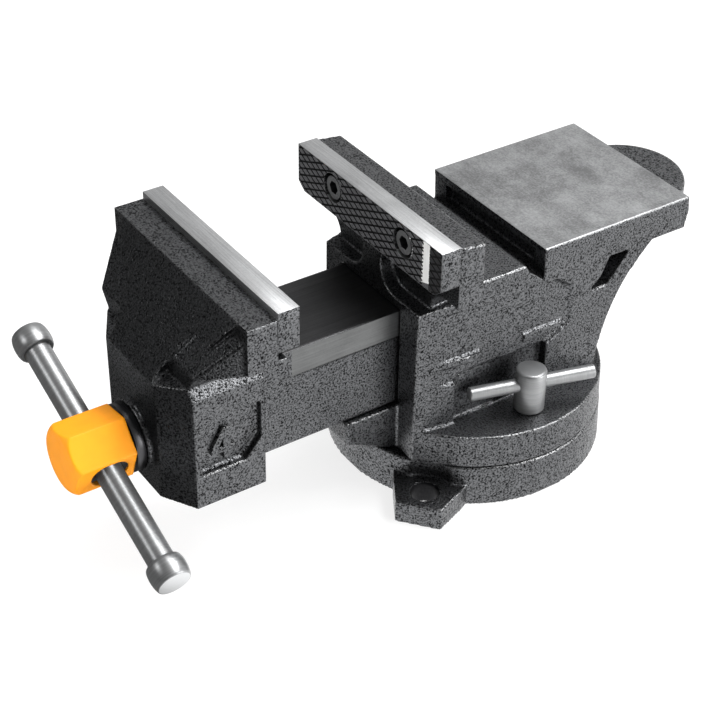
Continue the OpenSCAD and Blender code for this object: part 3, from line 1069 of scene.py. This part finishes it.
class VISE_OT_handle(bpy.types.Operator):
    """Turns the sliding bar and its two caps"""

    bl_idname = "vise.handle"
    bl_label = "Handle"

    def execute(self, context):
        axis = Vector(joint("handle_slide")["axis"]).normalized()
        origin = Vector(joint("screw_spin")["pos_m"])
        satin = turned_material(
            "mild_steel_turned_satin", colours().satin_steel, 0.36, metallic=0.85
        )
        end_highlight = turned_material("mild_steel_painted_highlight", colours().plate_steel, 0.45, 0.1)

        def span(node):
            """Where a node begins and ends along the bar's axis."""
            made = frame["nodes"][node]
            along = [(made.matrix_world @ v.co - origin).dot(axis) for v in made.data.vertices]
            return min(along), max(along)

        first, last = span("handle_bar")
        reach = (last - first) / 2 / MM
        bar = lathe(
            "handle_bar_turned",
            [(0, -reach), (BAR_RADIUS, -reach), (BAR_RADIUS, reach), (0, reach)],
        )
        place(bar, origin + axis * (first + last) / 2, axis)
        paint(bar, satin)
        stands_for(bar, "handle_bar")
        # barrel outline of a cap, from its outer end to the thin sleeve that grips the bar
        outline = [
            (0, 5.75), (6.5, 5.75), (6.7, 5.68), (6.88, 5.45), (7.12, 4.8), (7.36, 3.9),
            (7.56, 2.8), (7.68, 1.4), (7.7, 0), (7.62, -1.3), (7.42, -2.4), (7.12, -3.3),
            (6.95, -3.55), (6.75, -3.65), (5.8, -3.65), (5.8, -2.9), (5.45, -2.9),
            (5.45, -5.75), (5.35, -5.75), (0, -5.75),
        ]
        for node, sign in (("handle_cap_near", 1), ("handle_cap_far", -1)):
            cap = lathe(node + "_turned", outline)
            paint(cap, satin, end_highlight)
            # the flat outer end takes a lighter steel: a painted highlight
            for face in cap.data.polygons:
                face.material_index = int(face.normal.z > 0.99)
            place(cap, origin + axis * sum(span(node)) / 2, axis * sign)
            stands_for(cap, node)
        return {"FINISHED"}


class VISE_OT_locks(bpy.types.Operator):
    """Turns the two swivel lock screws and their bars"""

    bl_idname = "vise.locks"
    bl_label = "Swivel locks"

    def execute(self, context):
        satin = turned_material(
            "mild_steel_tumbled", rgba(colours().satin_steel, 0.8), 0.36, 0.35, 0.75
        )
        for side, sign in (("right", 1), ("left", -1)):
            low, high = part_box("lock_screw_" + side)
            middle = (low + high) / 2
            top, shank = high.z / MM, low.z / MM
            seat = top - LOCK_HEAD_HEIGHT
            wide, thin = LOCK_HEAD_RADIUS, LOCK_SHANK_RADIUS
            outline = [
                (0, top), (wide - 1.3, top), (wide - 0.8, top - 0.12),
                (wide - 0.3, top - 0.45), (wide, top - 0.9), (wide, seat + 0.5),
                (wide - 0.4, seat), (thin, seat), (thin, shank), (0, shank),
            ]
            screw = lathe("lock_screw_" + side + "_turned", outline)
            place(screw, (middle.x, middle.y, 0), (0, 0, 1))
            paint(screw, satin)
            stands_for(screw, "lock_screw_" + side)

            # the bar leans away from the body
            low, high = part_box("lock_bar_" + side)
            sine, cosine = math.sin(LOCK_BAR_LEAN), math.cos(LOCK_BAR_LEAN)
            wide = LOCK_BAR_RADIUS
            reach = ((high.y - low.y) / MM - 2 * wide * sine) / cosine / 2
            half = [(wide, reach - 0.5), (wide - 0.25, reach - 0.15), (wide - 0.7, reach)]
            outline = [(0, reach), *reversed(half)]
            outline += [(radius, -height) for radius, height in half] + [(0, -reach)]
            bar = lathe("lock_bar_" + side + "_turned", outline, 64)
            place(bar, (low + high) / 2, (sign * sine, cosine, 0))
            paint(bar, satin)
            stands_for(bar, "lock_bar_" + side)
            repaint(
                ground_material("cast_iron_machined", colours().dark_steel, 1),
                "lock_nut_" + side,
            )
        return {"FINISHED"}


# ---------- stage ----------

LIT_POINT = (0, -0.04, 0.06)
# the floor's lit card lies this way from its dark one, with a soft edge (metres)
CARD_DIRECTION = (0.6, 0.8, 0.0)
CARD_EDGE = (-0.112, -0.09)
# name, position, width and height in metres, and power in watts
LIGHTS = (
    ("side_box", (1.15, 0.75, 0.35), (1.0, 0.7), 15),
    ("front_box", (-0.35, -1.23, 0.92), (0.35, 0.35), 2.5),
    ("top_box", (0.28, 0.6, 1.28), (1.0, 0.45), 16),
    ("bar_box", (-0.12, 0.42, 1.42), (0.75, 0.6), 9),
)


def area_light(name, position, size, power):
    """A rectangular light that faces the vise."""
    data = bpy.data.lights.new(name, "AREA")
    data.shape = "RECTANGLE"
    data.size, data.size_y = size
    data.energy = power
    made = add_object(name, data)
    made.location = position
    way = Vector(LIT_POINT) - Vector(position)
    made.rotation_euler = way.to_track_quat("-Z", "Y").to_euler()


class VISE_OT_stage(bpy.types.Operator):
    """Sets the floor, the lights, the world and the camera"""

    bl_idname = "vise.stage"
    bl_label = "Stage"

    def execute(self, context):
        scene = context.scene
        scene.view_settings.view_transform = "Standard"
        self.floor()
        self.world(scene)
        for light in LIGHTS:
            area_light(*light)
        self.camera(scene)
        return {"FINISHED"}

    def floor(self):
        """A white floor that still takes the object's shadow."""
        mesh = bpy.data.meshes.new("floor")
        reach = 6.0
        mesh.from_pydata(
            [(-reach, -reach, 0), (reach, -reach, 0), (reach, reach, 0), (-reach, reach, 0)],
            [],
            [(0, 1, 2, 3)],
        )
        made = add_object("floor", mesh)
        made.location.z = CAD_BOX[0].z - 0.05 * MM

        def surface(material, where):
            matt = put(material, "BsdfDiffuse", {"Color": rgba(colours().floor)})
            glow = put(material, "Emission", {"Color": grey(1), "Strength": 1.1})
            path = put(material, "LightPath").outputs
            shown = mix(
                material, maths(material, "MULTIPLY", path["Is Camera Ray"], 0.7), matt, glow
            )
            # mirrored in the vise, the floor is a dark card in front and a lit one at the back
            across = put(
                material,
                "VectorMath",
                {1: CARD_DIRECTION},
                {0: where},
                operation="DOT_PRODUCT",
            ).outputs["Value"]
            card = ramp(
                material,
                spread(material, across, *CARD_EDGE),
                [(0.0, grey(0.1)), (1.0, grey(1))],
            )
            mirrored = put(material, "Emission", {"Strength": 1.3}, {"Color": card})
            return mix(material, path["Is Glossy Ray"], shown, mirrored)

        paint(made, material_of("floor_paper_white", surface))

    def world(self, scene):
        """White to the camera. Glossy surfaces see a room that is dark in front."""
        world = bpy.data.worlds.new("studio")
        scene.world = world
        world.use_nodes = True
        world.node_tree.nodes.clear()
        path = put(world, "LightPath").outputs
        soft = put(world, "Background", {"Color": grey(1), "Strength": 0.75})
        white = put(world, "Background", {"Color": grey(1), "Strength": 1.0})
        way = put(world, "TexCoord").outputs["Generated"]
        along = put(world, "SeparateXYZ", links={"Vector": way}).outputs["Y"]
        tone = ramp(
            world,
            spread(world, along, -1.0, 1.0),
            [(0.25, grey(0.02)), (0.6, grey(0.25)), (0.73, grey(0.33)), (1.0, grey(0.4))],
        )
        room = put(world, "Background", {"Strength": 1.5}, {"Color": tone})
        lit = mix(world, path["Is Glossy Ray"], soft, room)
        seen = maths(world, "MAXIMUM", path["Is Camera Ray"], path["Is Transmission Ray"])
        both = mix(world, seen, lit, white)
        put(world, "OutputWorld", links={"Surface": both.outputs[0]})

    def camera(self, scene):
        """A camera that looks down at the near side, rolled about its line of sight."""
        azimuth, elevation, roll = (math.radians(a) for a in CAMERA_ANGLES)
        back = Vector(
            (
                math.sin(azimuth) * math.cos(elevation),
                -math.cos(azimuth) * math.cos(elevation),
                math.sin(elevation),
            )
        )
        right = (-back).cross(Vector((0, 0, 1))).normalized()
        up = right.cross(-back)
        side = right * math.cos(roll) + up * math.sin(roll)
        top = up * math.cos(roll) - right * math.sin(roll)
        data = bpy.data.cameras.new("camera")
        data.sensor_width = 36.0
        data.lens = CAMERA_LENS
        made = add_object("camera", data)
        turn = Matrix((side, top, back)).transposed().to_4x4()
        made.matrix_world = Matrix.Translation(Vector(CAMERA_AT) * MM) @ turn
        scene.camera = made


class VISE_PT_panel(bpy.types.Panel):
    """Sizes, colours and building steps of the vise"""

    bl_idname = "VISE_PT_panel"
    bl_label = "Bench Vise"
    bl_space_type = "VIEW_3D"
    bl_region_type = "UI"
    bl_category = "Bench Vise"

    def draw(self, context):
        for title, group in (
            ("Sizes", context.scene.vise_sizes),
            ("Colours", context.scene.vise_colours),
        ):
            box = self.layout.box()
            box.label(text=title)
            for name in group.__annotations__:
                box.prop(group, name)
        for step in STEPS:
            self.layout.operator(step.bl_idname)


STEPS = (
    VISE_OT_castings,
    VISE_OT_size_mark,
    VISE_OT_jaw_plates,
    VISE_OT_plate_screws,
    VISE_OT_lead_screw,
    VISE_OT_cover,
    VISE_OT_handle,
    VISE_OT_locks,
    VISE_OT_stage,
)
CLASSES = (ViseSizes, ViseColours, *STEPS, VISE_PT_panel)


def register():
    for each in CLASSES:
        bpy.utils.register_class(each)
    bpy.types.Scene.vise_sizes = bpy.props.PointerProperty(type=ViseSizes)
    bpy.types.Scene.vise_colours = bpy.props.PointerProperty(type=ViseColours)


def unregister():
    del bpy.types.Scene.vise_colours
    del bpy.types.Scene.vise_sizes
    for each in reversed(CLASSES):
        bpy.utils.unregister_class(each)


def main():
    register()
    for step in STEPS:
        group, name = step.bl_idname.split(".")
        getattr(getattr(bpy.ops, group), name)()


if __name__ == "__main__":
    main()
